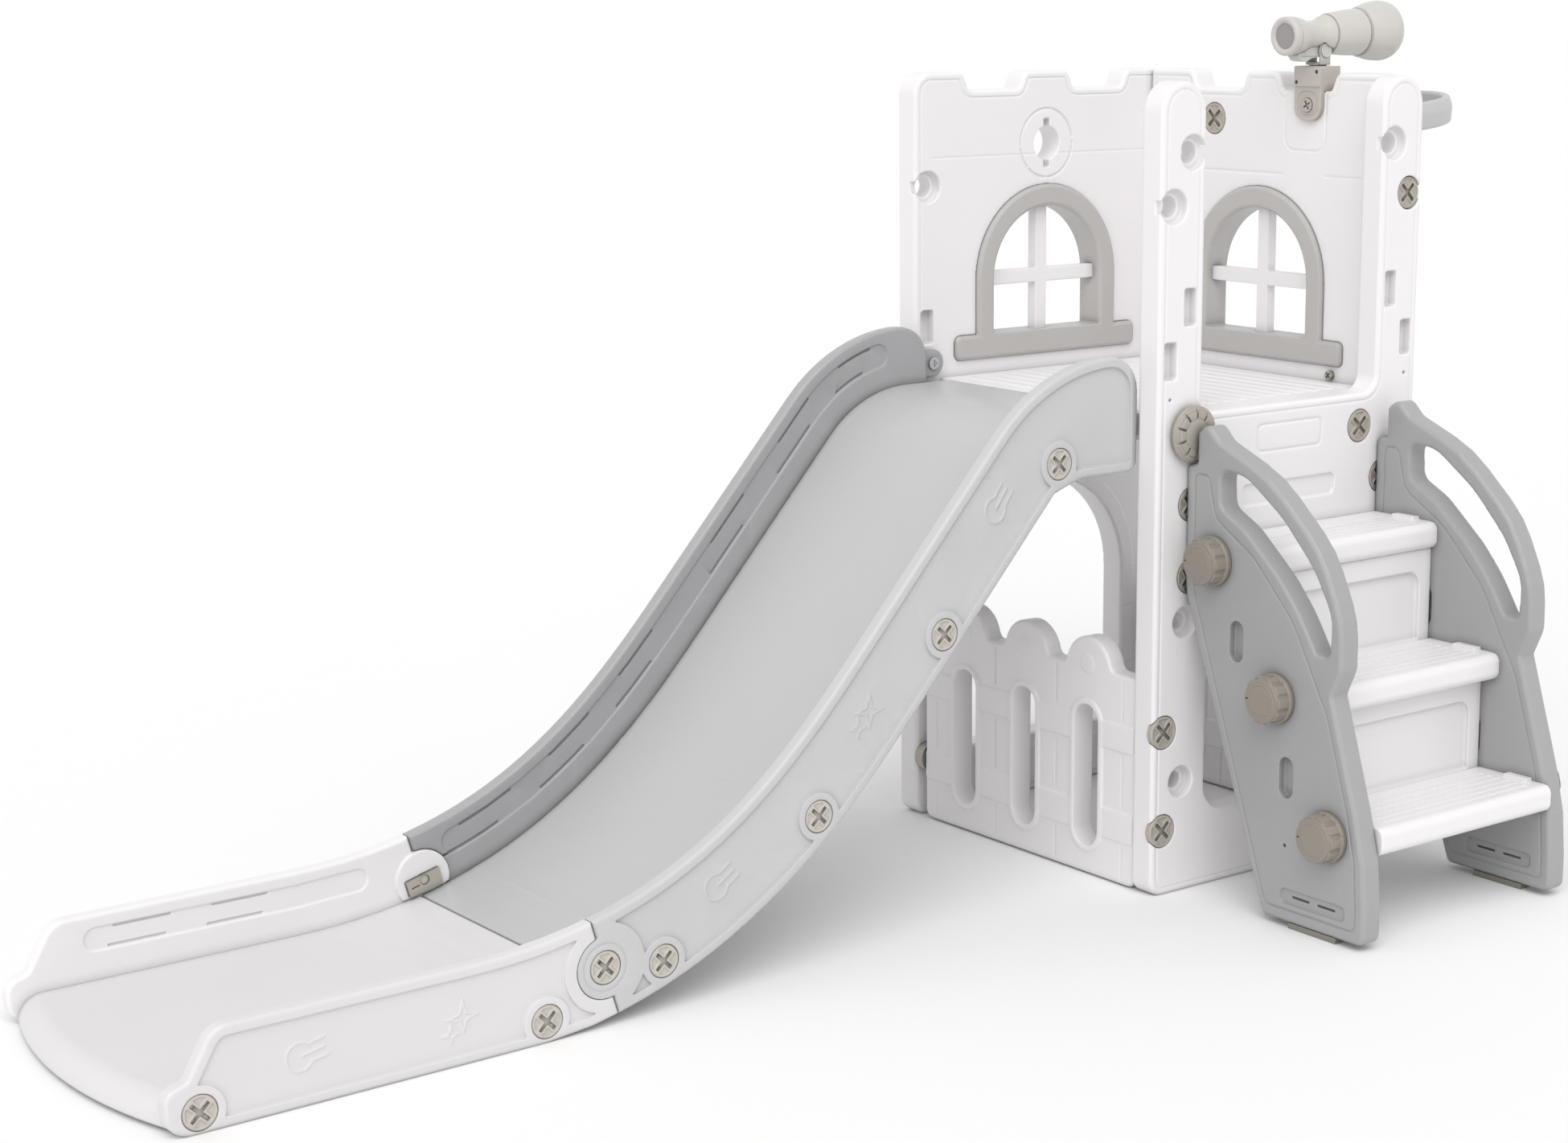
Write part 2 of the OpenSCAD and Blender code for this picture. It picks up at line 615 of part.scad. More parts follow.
lower_rail_outline = rounded(concat(
    [[low_hit[0] - seam_w, low_hit[1], 0], [top_hit[0] - seam_w, top_hit[1], 0]],
    [for (p = rail_top_line) if (well_past_seam(p)) [p[0], p[1], 0]],
    [
        [83 - slide_reach, runout_z + rail_up, 30], [50 - slide_reach, 62, 12], [23 - slide_reach, 54, 18],
        [23 - slide_reach, 0, 30], [-930, 0, 60]
    ],
    [for (k = [len(rail_low_line) - 1 : -1 : 0]) let (p = rail_low_line[k])
        if (well_past_seam(p) && p[1] > 5 && p[0] > -880) [p[0], p[1], 0]]
));

upper_screw_at = [[-134, 610], [-327, 409], [-529, 204.5], [-764, 66]];
lower_screw_at = [[-929, 27], [63 - slide_reach, 25]];
tab_x = 19;
tab_z = 686;
tab_r = 20;
head_seat = 5;

// Star with four drawn-in points, and a ring with three trailing lines, as raised outlines.
module star4(r) {
    w = r * 0.3;
    polygon([for (k = [0 : 7]) let (q = k % 2 == 0 ? r : w) [q * cos(k * 45), q * sin(k * 45)]]);
}
module star_mark(x, z, r) translate([x, z]) {
    difference() {
        star4(r);
        star4(r - 6);
    }
    translate([-r * 0.75, -r * 0.85]) difference() {
        star4(r * 0.6);
        star4(r * 0.6 - 5);
    }
}
module ring_mark(x, z, a) translate([x, z]) rotate([0, 0, a]) {
    difference() {
        circle(18);
        circle(15.5);
        translate([0, -9]) square([30, 18]);
    }
    for (k = [-1 : 1]) translate([k == 0 ? 2 : 12, k * 11 - 1.3]) square([k == 0 ? 30 : 22, 2.6]);
}

// Outer face drawing of a rail: recessed field that leaves a border and round bosses.
module rail_field(outline, screws) difference() {
    polygon(inset(outline, 13));
    for (s = screws) translate(s) circle(31);
    translate(pivot) circle(56);
}

module raised_marks(upper) {
    if (upper) {
        ring_mark(-241, 561, 55);
        ring_mark(-684, 143, 35);
        star_mark(-447, 327, 24);
    } else {
        ring_mark(184 - slide_reach, 59, 12);
        star_mark(-1039, 58, 22);
    }
}

// Path-following band between two heights over the bed, from station u0 to u1.
module track(u0, u1, h0, h1, steps) polygon(concat(
    [for (k = [0 : steps]) beside(u0 + (u1 - u0) * k / steps, h0)],
    [for (k = [steps : -1 : 0]) beside(u0 + (u1 - u0) * k / steps, h1)]
));

// The same band with half-round ends.
function track_end(u, h0, h1, s) =
    let (m = beside(u, (h0 + h1) / 2), d = s * bed_dir(u), n = -turn(bed_dir(u)), r = (h1 - h0) / 2)
    [for (t = [-70 : 20 : 70]) m + r * (cos(t) * d + s * sin(t) * n)];
module round_track(u0, u1, h0, h1, steps) polygon(concat(
    track_end(u0, h0, h1, -1),
    [for (k = [0 : steps]) beside(u0 + (u1 - u0) * k / steps, h0)],
    track_end(u1, h0, h1, 1),
    [for (k = [steps : -1 : 0]) beside(u0 + (u1 - u0) * k / steps, h1)]
));

// Rail with its outer face at z = 0 of the drawing and its inner face at rail_t.
module rail_body(outline, screws, upper) {
    field_d = 3.5;
    difference() {
        union() {
            difference() {
                soft_plate(outline, rail_t, 6);
                translate([0, 0, -past]) linear_extrude(field_d + past) rail_field(outline, screws);
                if (upper)
                    translate([0, 0, rail_t / 2]) linear_extrude(rail_t) translate(pivot) circle(knuckle_r + seam_w);
                else
                    translate([0, 0, -past]) linear_extrude(rail_t / 2 + past) translate(pivot) circle(knuckle_r + seam_w);
            }
            translate([0, 0, field_d - 1.3]) linear_extrude(4) raised_marks(upper);
            if (upper)
                linear_extrude(rail_t / 2) translate(pivot) circle(knuckle_r);
            else
                translate([0, 0, rail_t / 2]) linear_extrude(rail_t / 2) translate(pivot) circle(knuckle_r);
        }
        for (s = screws) translate([s[0], s[1], -past]) {
            cylinder(r = slide_screw_r + 0.4, h = head_seat + past);
            cylinder(r = 8, h = rail_t + 2 * past);
        }
        translate([pivot[0], pivot[1], -past]) {
            cylinder(r = slide_screw_r + 0.4, h = (upper ? head_seat : 0) + past);
            cylinder(r = 8, h = rail_t + 2 * past);
        }
        if (upper)
            translate([0, 0, -past]) linear_extrude(1.4 + past) translate(pivot) difference() {
                circle(31);
                circle(28.5);
            }
        translate([0, 0, rail_t - 2]) linear_extrude(2 + past)
            if (upper) round_track(1.25, 3.74, 32, 66, 30);
            else round_track(3.91, 4.7, 36, 66, 8);
        for (d = upper ? upper_dashes : lower_dashes)
            translate([0, 0, rail_t - 5]) linear_extrude(5 + past) track(d[0], d[1], d[2], d[2] + 3, 4);
    }
}

dash_low = 34;
dash_high = 62;
upper_dashes = [
    for (k = [0 : 2]) each [[1.3 + k * 0.62, 1.6 + k * 0.62, dash_high], [1.42 + k * 0.62, 1.72 + k * 0.62, dash_low]],
    for (k = [0 : 2]) each [[3.16 + k * 0.22, 3.28 + k * 0.22, dash_high], [3.21 + k * 0.22, 3.33 + k * 0.22, dash_low]]
];
lower_dashes = [for (k = [0 : 1]) each [
    [4.1 + k * 0.34, 4.3 + k * 0.34, dash_high], [4.12 + k * 0.34, 4.32 + k * 0.34, dash_low + 4]
]];

module near_rail() translate([0, near_y, 0]) rotate([90, 0, 0]) mirror([0, 0, 1]) children();
module far_rail() translate([0, far_y, 0]) rotate([90, 0, 0]) children();

module rail_tab() difference() {
    translate([0, 0, 3]) linear_extrude(12) polygon(concat(
        [[-14, tab_z + tab_r], [-14, tab_z - tab_r]],
        arc(tab_x, tab_z, tab_r, -90, 90, 14)
    ));
    translate([tab_x, tab_z, -past]) cylinder(r = 4, h = 20);
}

module slide_upper_rail_near() color(mid_grey) near_rail() {
    rail_body(upper_rail_outline, upper_screw_at, true);
}
module slide_upper_rail_far() color(mid_grey) far_rail() {
    rail_body(upper_rail_outline, upper_screw_at, true);
    rail_tab();
}
module slide_lower_rail_near() color(white) near_rail() {
    rail_body(lower_rail_outline, lower_screw_at, false);
    knuckle_boss();
}
module slide_lower_rail_far() color(white) far_rail() {
    rail_body(lower_rail_outline, lower_screw_at, false);
    knuckle_boss();
}

// Half-round boss over the bed around the knuckle's nut.
module knuckle_boss() difference() {
    translate([pivot[0], pivot[1], rail_t - past]) cylinder(r = knuckle_r, h = 4 + past);
    translate([0, 0, rail_t - 2 * past]) linear_extrude(8)
        polygon([beside(3.6, 1), beside(3.7, 1), beside(3.8, 1), beside(3.9, 1), [-950, -60], [-700, -60]]);
    translate([pivot[0], pivot[1], -past]) cylinder(r = 8, h = 40);
    knuckle_nut_shape(1);
}

nut_tilt = 15;
module knuckle_nut_shape(grow) translate([pivot[0], pivot[1] - 4, rail_t + 1.5]) rotate([0, 0, nut_tilt])
    translate([-25 - grow / 2, -11 - grow / 2, 0]) cube([50 + grow, 22 + grow, 6]);

module knuckle_nuts() color(taupe) {
    near_rail() knuckle_nut();
    far_rail() knuckle_nut();
}
module knuckle_nut() difference() {
    knuckle_nut_shape(0);
    translate([pivot[0], pivot[1], 0]) cylinder(r = 7, h = 60);
    translate([pivot[0], pivot[1] - 4, rail_t + 6]) rotate([0, 0, nut_tilt]) translate([-20, -1, 0]) cube([12, 2, 3]);
}

module side_screws(points, shank) {
    near_rail() for (p = points) translate([p[0], p[1], 0]) rotate([180, 0, 0])
        cross_screw(slide_screw_r, head_seat, 7.9, shank);
    far_rail() for (p = points) translate([p[0], p[1], 0]) rotate([180, 0, 0])
        cross_screw(slide_screw_r, head_seat, 7.9, shank);
}
module slide_upper_screws() color(taupe) side_screws(upper_screw_at, 40);
module slide_lower_screws() color(taupe) side_screws(lower_screw_at, 40);
module knuckle_screws() color(taupe) {
    near_rail() knuckle_screw();
    far_rail() knuckle_screw();
}
module knuckle_screw() translate([pivot[0], pivot[1], 0]) rotate([180, 0, 0])
    cross_screw(slide_screw_r, head_seat, 6.9, rail_t + 1);

module tab_screws() color(steel) face_y(tab_x, far_y - 15, tab_z) {
    difference() {
        cylinder(r = 9, h = 4);
        for (a = [0, 90]) rotate([0, 0, a]) translate([-5, -1, 2]) cube([10, 2, 3]);
    }
    translate([0, 0, -38]) cylinder(r = 3.9, h = 38);
}

module screw_pockets(points)
    for (p = points, side = [0, 1])
        translate([p[0], side == 0 ? bed_y0 - past : bed_y1 + past, p[1]]) rotate([side == 0 ? -90 : 90, 0, 0])
            cylinder(r = 8, h = 30);

bed_seam_u = 3.819;
module bed_outline(u_list, t) polygon(concat(
    [for (u = u_list) beside(u, 0)],
    [for (k = [len(u_list) - 1 : -1 : 0]) beside(u_list[k], -t)]
));

module slide_upper_bed() color(pale_grey) difference() {
    union() {
        along_y(bed_y0, bed_y1 - bed_y0)
            bed_outline(concat([0], [for (u = bed_steps) if (u < bed_seam_u) u], [bed_seam_u]), bed_t);
        for (p = upper_screw_at)
            translate([p[0], bed_y0, p[1]]) rotate([-90, 0, 0]) cylinder(r = 13, h = bed_y1 - bed_y0);
    }
    screw_pockets(upper_screw_at);
}

nose_r = 700;                 // plan radius of the nose
nose_edge = 30;               // radius of the nose's rim
module slide_lower_bed() color(white) difference() {
    union() {
        along_y(bed_y0, bed_y1 - bed_y0) bed_outline(
            concat([bed_seam_u + 0.002], [for (u = bed_steps) if (u > bed_seam_u + 0.01) u], [4 + 0.8]), bed_t);
        intersection() {
            translate([-slide_reach + nose_r, (bed_y0 + bed_y1) / 2, 0]) rotate_extrude($fn = 360) polygon(concat(
                [[nose_r - 200, 4], [nose_r - 6, 4], [nose_r - 2, 6]],
                arc(nose_r - nose_edge, runout_z - nose_edge, nose_edge, 2, 90, 9),
                [[nose_r - 200, runout_z]]
            ));
            translate([-slide_reach - past, bed_y0, 0]) cube([180, bed_y1 - bed_y0, 60]);
        }
        for (p = lower_screw_at)
            translate([p[0], bed_y0, p[1]]) rotate([-90, 0, 0]) cylinder(r = 11, h = bed_y1 - bed_y0);
    }
    screw_pockets(lower_screw_at);
}

// ---- stairs ---------------------------------------------------------------------------------

plate_left_x = 53;
plate_right_x = tower_w - 43 - plate_t;
tread_z = [3 * step_rise - 6, 2 * step_rise - 6, step_rise - 6];
tread_front = [-121, -241, -340];
tread_back = [0, -111, -210];
bolt_at = [[-56, 474], [-177, 309], [-276, 143]];
bolt_r = 6;
foot_y0 = -286;
foot_y1 = -213;
foot_h = 8;

stair_plate_outline = rounded([
    [-160, foot_h, 10], [-stair_reach, foot_h, 14], [-stair_reach, 118, 400], [-275, 328, 6], [-291, 364, 30],
    [-290, 428, 110], [-249, 514, 150], [-155, 597, 200], [-62, 633, 25], [-38, 656, 14], [-19, 642, 8],
    [-19, 600, 4], [0, 596, 6], [0, 424, 60]
]);

hand_hole = rounded([
    [-64, 597, 14], [-110, 594, 60], [-180, 547, 150], [-238, 488, 120], [-271, 432, 60], [-269, 379, 9],
    [-246, 379, 7], [-214, 428, 200], [-178, 468, 150], [-112, 523, 80], [-66, 546, 20]
]);

plate_field = rounded([
    [-16, 588, 10], [-16, 428, 60], [-164, 24, 14], [-328, 24, 10], [-328, 120, 400], [-270, 300, 60],
    [-205, 415, 120], [-130, 490, 100], [-58, 532, 30], [-44, 588, 12]
]);

module stair_plate(outer) difference() {
    soft_plate(stair_plate_outline, plate_t, 8);
    translate([0, 0, -past]) linear_extrude(plate_t + 2 * past) polygon(hand_hole);
    for (z = [-past, plate_t - 2]) translate([0, 0, z]) linear_extrude(2 + past) line_ring(hand_hole, -3, 3);
    for (z = [-past, plate_t - groove_d]) translate([0, 0, z]) linear_extrude(groove_d + past)
        line_ring(plate_field, 0);
    for (z = [-past, plate_t - 11]) translate([0, 0, z]) linear_extrude(11 + past) {
        stadium(-101, 371, 12.5, 28);
        stadium(-198, 205, 12.5, 28);
    }
    for (z = [-past, plate_t - 3]) translate([0, 0, z]) linear_extrude(3 + past)
        soft_square(-309, 34, -193, 55, 9);
    for (z = [-past, plate_t - 8], y = [-290, -244]) translate([0, 0, z]) linear_extrude(8 + past)
        translate([y, 43]) square([32, 3]);
    for (b = bolt_at) translate([b[0], b[1], -past]) cylinder(r = bolt_r, h = plate_t + 2 * past);
    translate([-199, 113, outer ? -past : plate_t - 6]) cylinder(r = 2.5, h = 6 + past);
    translate([foot_y0, 0, plate_t / 2 - 12]) cube([foot_y1 - foot_y0, foot_h + 6, 24]);
}

module stair_plate_left() color(mid_grey) translate([plate_left_x, 0, 0]) rotate([90, 0, 90]) stair_plate(true);
module stair_plate_right() color(mid_grey) translate([plate_right_x, 0, 0]) rotate([90, 0, 90]) stair_plate(false);

tread_x0 = plate_left_x + plate_t;
tread_x1 = plate_right_x;

module tread(k) color(white) {
    z1 = tread_z[k];
    y0 = tread_front[k];
    y1 = tread_back[k];
    outline = rounded([[y1, z1 - tread_t, 3], [y0, z1 - tread_t, 12], [y0, z1, 12], [y1, z1, 3]]);
    difference() {
        union() {
            along_x(tread_x0, tread_x1 - tread_x0) polygon(outline);
            for (x = [tread_x0, tread_x1 - 14])
                translate([x, y0 + 34, z1 - past]) cube([14, 40, 4 + past]);
        }
        for (i = [0 : 5]) translate([tread_x0 + 26, y0 + 20 + i * (y1 - y0 - 36) / 6, z1 - 2])
            cube([tread_x1 - tread_x0 - 52, 5, 2 + past]);
        translate([tread_x0 - past, bolt_at[k][0], bolt_at[k][1]]) rotate([0, 90, 0])
            cylinder(r = bolt_r, h = tread_x1 - tread_x0 + 2 * past);
    }
}
module stair_tread_top() tread(0);
module stair_tread_middle() tread(1);
module stair_tread_bottom() tread(2);

// Riser under tread k, down to the underside of the tread below: a board with a recessed panel.
riser_t = 18;
module riser(k) color(white) {
    front = tread_back[k + 1];
    bottom = tread_z[k + 1] - tread_t;
    top = tread_z[k] - tread_t;
    difference() {
        translate([tread_x0, front, bottom]) cube([tread_x1 - tread_x0, riser_t, top - bottom]);
        along_y(front - past, 7 + past) intersection() {
            soft_square(tread_x0 + 22, bottom, tread_x1 - 22, top - 30, 22);
            translate([tread_x0, tread_z[k + 1]]) square([tread_x1 - tread_x0, top]);
        }
    }
}
module stair_riser_top() riser(0);
module stair_riser_middle() riser(1);

module stair_bolts() color(steel)
    for (b = bolt_at) translate([plate_left_x - 20, b[0], b[1]]) rotate([0, 90, 0])
        cylinder(r = bolt_r, h = plate_right_x + plate_t + 40 - plate_left_x);

module stair_feet() color(taupe)
    for (x = [plate_left_x, plate_right_x])
        translate([x + plate_t / 2, 0, 0]) {
            translate([-plate_t / 2 + 3, foot_y0 - 6, 0]) cube([plate_t - 6, foot_y1 - foot_y0 + 12, foot_h]);
            translate([-12, foot_y0, 0]) cube([24, foot_y1 - foot_y0, foot_h + 6]);
        }

module stair_screws() color(taupe)
    for (s = [0, 1], z = stair_screw_z) mirror_x(s) face_y(stair_screw_x, 0, z)
        cross_screw(screw_r, head_h, shank_r - 0.1, wall_t - head_h);

knob_r = 34;
knob_h = 30;
knob_lobes = 10;
// Hand knob along +Z with its foot at z = 0 and a bore for the bolt.
module knob() color(taupe) difference() {
    union() {
        cylinder(r = knob_r, h = 7);
        cylinder(r = knob_r - 2, h = knob_h - 4);
        cylinder(r = knob_r - 5, h = knob_h - 1);
        cylinder(r = knob_r - 11, h = knob_h);
    }
    for (k = [0 : knob_lobes - 1]) rotate([0, 0, k * 360 / knob_lobes])
        translate([knob_r + 1, 0, 8]) cylinder(r = 5.5, h = knob_h);
    translate([0, 0, -past]) cylinder(r = bolt_r + running_fit, h = 21);
    translate([0, 0, knob_h - 1]) difference() {
        cylinder(r = knob_r - 12.5, h = 3);
        translate([0, 0, -past]) cylinder(r = knob_r - 14, h = 5);
    }
    translate([-1, knob_r - 12, knob_h - 5]) cube([2, 14, 6]);
}
module knob_on(side, k)
    translate([side == 0 ? plate_left_x - body_gap : plate_right_x + plate_t + body_gap, bolt_at[k][0], bolt_at[k][1]])
        rotate([0, side == 0 ? -90 : 90, 0]) knob();
module stair_knob_left_top() knob_on(0, 0);
module stair_knob_left_middle() knob_on(0, 1);
module stair_knob_left_bottom() knob_on(0, 2);
module stair_knob_right_top() knob_on(1, 0);
module stair_knob_right_middle() knob_on(1, 1);
module stair_knob_right_bottom() knob_on(1, 2);

// ---- dial and tower screws ------------------------------------------------------------------

dial_x = 58;
dial_z = deck_z - 25;
dial_r = 38;
spindle_r = 9;
dial_notches = 10;

module dial() color(taupe) face_y(dial_x, -3, dial_z) difference() {
    union() {
        cylinder(r = dial_r - 3, h = 11);
        translate([0, 0, 2.5]) cylinder(r = dial_r, h = 6);
        cylinder(r = dial_r - 8, h = 13);
    }
    for (k = [0 : dial_notches - 1]) rotate([0, 0, 18 + k * 360 / dial_notches])
        translate([dial_r - 17, -1.5, 9]) cube([18, 3, 6]);
    translate([0, 0, 12]) difference() {
        cylinder(r = 21, h = 4);
        translate([0, 0, -past]) cylinder(r = 19.5, h = 6);
    }
    translate([0, 0, -past]) cylinder(r = spindle_r + running_fit, h = 8 + past);
}

module dial_spindle() color(dark) face_y(dial_x, 0, dial_z) {
    translate([0, 0, -wall_t + 3]) cylinder(r = spindle_r, h = wall_t + 7);
}

module post_screws() color(taupe) {
    for (s = [0, 1], z = fence_screw_z) mirror_x(s) face_y(20, 0, z)
        cross_screw(screw_r, head_h, shank_r - 0.1, wall_t + 20);
    face_y(tower_w - panel_screw[0], 0, panel_screw[1]) cross_screw(screw_r, head_h, shank_r - 0.1, wall_t - head_h);
    face_y(tower_w - hole_low[0], 3, hole_low[1]) cross_screw(screw_r, head_h, bore_r - 0.1, wall_t - head_h - 3);
    face_x(wall_in_x, wall_screw[0], wall_screw[1]) cross_screw(screw_r, head_h, shank_r - 0.1, wall_t - head_h);
}

// ---- telescope ------------------------------------------------------------------------------

tilt_x = wall_in_x + 12;      // tilt axis of the telescope
tilt_z = wall_top + 31;
axis_up = 22.4;               // tube axis above the tilt axis
bracket_half = 26;
bracket_top = wall_top + 9;
bracket_x = wall_in_x - 8;    // front of the bracket's tab
bracket_screw_z = wall_top - 46;
stem_r = 8;
pin_r = 3;
lug_half = 10.7;              // half width of the saddle's lug
cheek_in = lug_half + body_gap;
cheek_t = 4;
cheek_half = 10;
ear_r = 12;
pin_head_r = 10.4;
pin_head_h = 2;

module telescope_bracket() color(taupe) difference() {
    union() {
        translate([wall_in_x, scope_y - bracket_half, wall_top - crenel_drop])
            cube([32, 2 * bracket_half, bracket_top - wall_top + crenel_drop]);
        along_x(bracket_x - 2, 10)
            soft_square(scope_y - bracket_half, wall_top - 20, scope_y + bracket_half, bracket_top, 3);
        along_x(bracket_x, 8) polygon(rounded([
            [scope_y - bracket_half, wall_top - 68, 20], [scope_y + bracket_half, wall_top - 68, 20],
            [scope_y + bracket_half, wall_top - 10, 1], [scope_y - bracket_half, wall_top - 10, 1]
        ]));
    }
    along_x(bracket_x - 1, 2.5) difference() {
        soft_square(scope_y - 20, wall_top - 63, scope_y + 20, wall_top - 26, 15);
        translate([scope_y, bracket_screw_z]) circle(13.5);
    }
    translate([tilt_x, scope_y, bracket_top - 28]) cylinder(r = stem_r + running_fit, h = 28 + past);
    face_x(bracket_x, scope_y, bracket_screw_z) translate([0, 0, -20]) cylinder(r = 6, h = 21);
    face_x(bracket_x, scope_y, bracket_screw_z) translate([0, 0, -3.5]) cylinder(r = 10.4, h = 5);
    for (p = [[21, -14], [-18, 1]])
        face_x(bracket_x - 2, scope_y + p[0], wall_top + p[1]) translate([0, 0, -6]) cylinder(r = 2.8, h = 7);
}

module bracket_screw() color(taupe) face_x(bracket_x, scope_y, bracket_screw_z) difference() {
    union() {
        translate([0, 0, -3.5]) cylinder(r = 10, h = 4.5);
        translate([0, 0, -36]) cylinder(r = 5.9, h = 33);
    }
    for (a = [30, 120]) rotate([0, 0, a]) translate([-7, -1.4, -1]) cube([14, 2.8, 3]);
}

module swivel_fork() color(taupe) translate([tilt_x, scope_y, 0]) difference() {
    union() {
        translate([0, 0, bracket_top - 26]) cylinder(r = stem_r, h = 28);
        translate([0, 0, bracket_top + body_gap]) cylinder(r = 12.4, h = 3);
        translate([-cheek_half, -cheek_in - cheek_t, bracket_top + 1.5])
            cube([2 * cheek_half, 2 * (cheek_in + cheek_t), 4]);
        for (s = [-1, 1]) translate([0, s > 0 ? cheek_in + cheek_t : -cheek_in, 0]) rotate([90, 0, 0]) {
            translate([-cheek_half, bracket_top + 2, 0]) cube([2 * cheek_half, tilt_z - bracket_top - 2, cheek_t]);
            translate([0, tilt_z, 0]) cylinder(r = ear_r, h = cheek_t);
        }
    }
    translate([0, cheek_in + cheek_t + past, tilt_z]) rotate([90, 0, 0])
        cylinder(r = pin_r, h = 2 * (cheek_in + cheek_t + past));
}

module tilt_pin() color(taupe) translate([tilt_x, scope_y, tilt_z]) rotate([90, 0, 0]) {
    translate([0, 0, -cheek_in - cheek_t]) cylinder(r = pin_r, h = 2 * (cheek_in + cheek_t));
    for (s = [0, 1]) mirror([0, 0, s]) translate([0, 0, cheek_in + cheek_t]) difference() {
        cylinder(r = pin_head_r, h = pin_head_h);
        translate([0, 0, pin_head_h - 1]) cylinder(r = pin_head_r - 2.5, h = 2);
    }
}

// Places a turned shape drawn along +Z on the tube's axis; z = 0 is over the tilt axis.
module on_tube() translate([tilt_x, scope_y, tilt_z]) rotate([0, -scope_lean, 0])
    translate([0, 0, axis_up]) rotate([0, 90, 0]) children();

tail_s = -71;
tip_s = scope_len + tail_s;
eye_end_s = 14;               // ends of the eye tube and of the front tube
front_end_s = 78;

module telescope_saddle() color(taupe) difference() {
    union() {
        translate([tilt_x, scope_y + lug_half, tilt_z]) rotate([90, 0, 0]) cylinder(r = 9.5, h = 2 * lug_half);
        translate([tilt_x, scope_y + lug_half, tilt_z]) rotate([90, 0, 0]) linear_extrude(2 * lug_half) polygon(rounded([
            [7, -4, 0], [-6, -9, 0], [-24, -11, 8], [-35, -16, 8], [-46, -14, 6], [-52, -7, 4], [-50, 9, 0], [7, 12, 0]
        ]));
    }
    on_tube() rotate_extrude($fn = 96)
        polygon(concat([[0, tail_s + 10], [27.4, tail_s + 10]], eye_tube_line, [[27, 40], [0, 40]]));
    for (z = [-9, -5.5, -2], s = [-1, 1])
        translate([tilt_x - 44, scope_y + (s > 0 ? lug_half - 1.2 : -lug_half - 1), tilt_z + z]) cube([32, 2.2, 1.4]);
    translate([tilt_x, scope_y + lug_half + past, tilt_z]) rotate([90, 0, 0])
        cylinder(r = pin_r + running_fit, h = 2 * (lug_half + past));
}

eye_tube_line = rounded([
    [27.4, tail_s + 13, 0], [26, -46, 30], [20, -26, 20], [20, -8, 20], [26, 7, 14], [27, eye_end_s, 0]
]);

module telescope_eye_tube() color(taupe) difference() {
    on_tube() rotate_extrude($fn = 96) polygon(concat(
        [[13, eye_end_s], [13, -24], [24, tail_s + 12], [27.4, tail_s + 12]], eye_tube_line
    ));
    for (s = [0, 1]) translate([tilt_x, scope_y, tilt_z]) mirror([0, s, 0]) translate([0, -lug_half, 0])
        rotate([90, 0, 0]) cylinder(r = ear_r + 0.6, h = cheek_t + pin_head_h + 1.2);
    translate([tilt_x, scope_y + lug_half + past, tilt_z]) rotate([90, 0, 0])
        cylinder(r = pin_r + body_gap, h = 2 * (lug_half + past));
}

module telescope_front_tube() color(taupe) on_tube() rotate_extrude($fn = 96) polygon(concat(
    [[21, eye_end_s], [25, eye_end_s]],
    rounded([[25, 15.6, 0], [28.9, 16.6, 1.5], [31.9, 47, 60], [33.6, front_end_s - 3.5, 1.5], [31.8, front_end_s - 2, 0]]),
    [[31.8, front_end_s], [29, front_end_s]]
));

module telescope_bell() color(taupe) on_tube() rotate_extrude($fn = 96) polygon(concat(
    [[29, front_end_s], [31.8, front_end_s]],
    rounded([
        [31.8, front_end_s + 1, 0], [35, front_end_s + 2, 1.5], [41.4, tip_s - 38, 60], [43.6, tip_s - 17, 30],
        [41, tip_s - 6, 8], [37, tip_s, 4], [33, tip_s, 1.5]
    ]),
    [[33, tip_s - 14], [29, tip_s - 26]]
));

module eyepiece_ring() color(taupe) on_tube() rotate_extrude($fn = 96) polygon(rounded([
    [17.7, tail_s + 3, 0], [20.5, tail_s + 1, 0], [24, tail_s, 2], [27.4, tail_s + 2, 2],
    [27.4, tail_s + 12, 0], [17.7, tail_s + 12, 0]
]));

module eyepiece_lens() color(dark) on_tube() translate([0, 0, tail_s + 4]) cylinder(r = 17.6, h = 6);
module front_lens() color(dark) on_tube() translate([0, 0, tip_s - 13]) cylinder(r = 32.9, h = 5);

// ---- hoop -----------------------------------------------------------------------------------

hoop_y = scope_y + 3;
hoop_z = wall_top - 61;       // middle of the hoop
hoop_near_z = hoop_z - hoop_r * sin(hoop_tilt);
hoop_wall = 15;
hoop_screw_z = wall_top - 98;
hoop_screw_y = [hoop_y - 22, hoop_y + 22];

module on_hoop() translate([hoop_x, hoop_y, hoop_z]) rotate([0, -hoop_tilt, 0]) children();

module hoop_ring() color(frame_grey) on_hoop() translate([0, 0, -hoop_h / 2]) rotate_extrude($fn = 180)
    polygon(rounded([
        [hoop_r - hoop_wall, 0, 4], [hoop_r - 3, 0, 6], [hoop_r, hoop_h * 0.6, 20], [hoop_r - 4, hoop_h, 5],
        [hoop_r - hoop_wall, hoop_h, 5]
    ]));

module hoop_bracket() color(frame_grey) difference() {
    union() {
        along_x(tower_w, 8) soft_square(hoop_y - 38, wall_top - 114, hoop_y + 38, wall_top - 42, 12);
        translate([tower_w, hoop_y - 20, hoop_near_z - 14]) cube([24, 40, 28]);
    }
    on_hoop() translate([0, 0, -hoop_h]) cylinder(r = hoop_r + 0.2, h = 2 * hoop_h, $fn = 180);
    for (y = hoop_screw_y) back_x(tower_w + 9, y, hoop_screw_z) translate([0, 0, -12]) cylinder(r = 5, h = 13);
}

